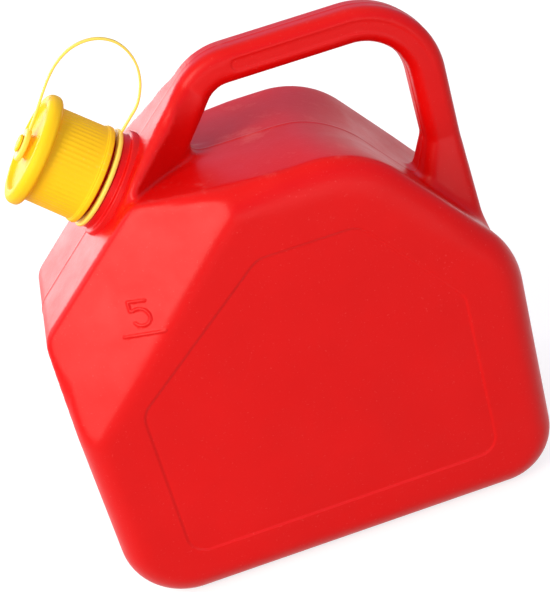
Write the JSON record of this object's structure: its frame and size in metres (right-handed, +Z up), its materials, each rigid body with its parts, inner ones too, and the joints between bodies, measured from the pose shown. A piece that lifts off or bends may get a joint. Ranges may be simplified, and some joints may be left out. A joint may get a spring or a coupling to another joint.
{
  "type": "fuel can",
  "caption": "Hollow red plastic fuel can with a moulded carrying handle and a sloping threaded neck, closed by a ribbed yellow screw cap on a retaining strap.",
  "frame": {"origin": "on the floor, under the middle of the can", "axes": "+X along the can from the neck end to the rear, +Y across it, +Z up"},
  "size_m": [0.23, 0.1372, 0.2747],
  "materials": {
    "red_shell": "satin moulded polyethylene",
    "yellow_cap": "satin moulded",
    "yellow_strap": "satin moulded, flexible",
    "seal": "matt"
  },
  "bodies": {
    "can": {"can_body": "red_shell"},
    "seal": {"cap_gasket": "seal"},
    "cap": {"screw_cap": "yellow_cap"},
    "neck_ring": {"tether_ring": "yellow_strap"},
    "strap": {"tether_strap": "yellow_strap", "tether_eye": "yellow_strap"}
  },
  "joints": [
    {"name": "cap_lift", "type": "slide", "parent": "can", "child": "seal", "axis": [-0.7254, 0, 0.6884], "range_m": [0, 0.009]},
    {"name": "cap_turn", "type": "hinge", "parent": "seal", "child": "cap", "pos_m": [-0.06, 0, 0.2016], "axis": [-0.7254, 0, 0.6884], "range_deg": [0, 720]},
    {"name": "tether_swivel", "type": "hinge", "parent": "can", "child": "neck_ring", "pos_m": [-0.06, 0, 0.2016], "axis": [-0.7254, 0, 0.6884], "continuous": true},
    {"name": "tether_lift", "type": "slide", "parent": "neck_ring", "child": "strap", "axis": [-0.7254, 0, 0.6884], "range_m": [0, 0.009], "deforming": ["tether_strap"]}
  ],
  "couplings": [
    {"joint": "cap_lift", "follows": "cap_turn", "m_per_rad": 0.0007162},
    {"joint": "tether_lift", "follows": "cap_turn", "m_per_rad": 0.0007162}
  ]
}
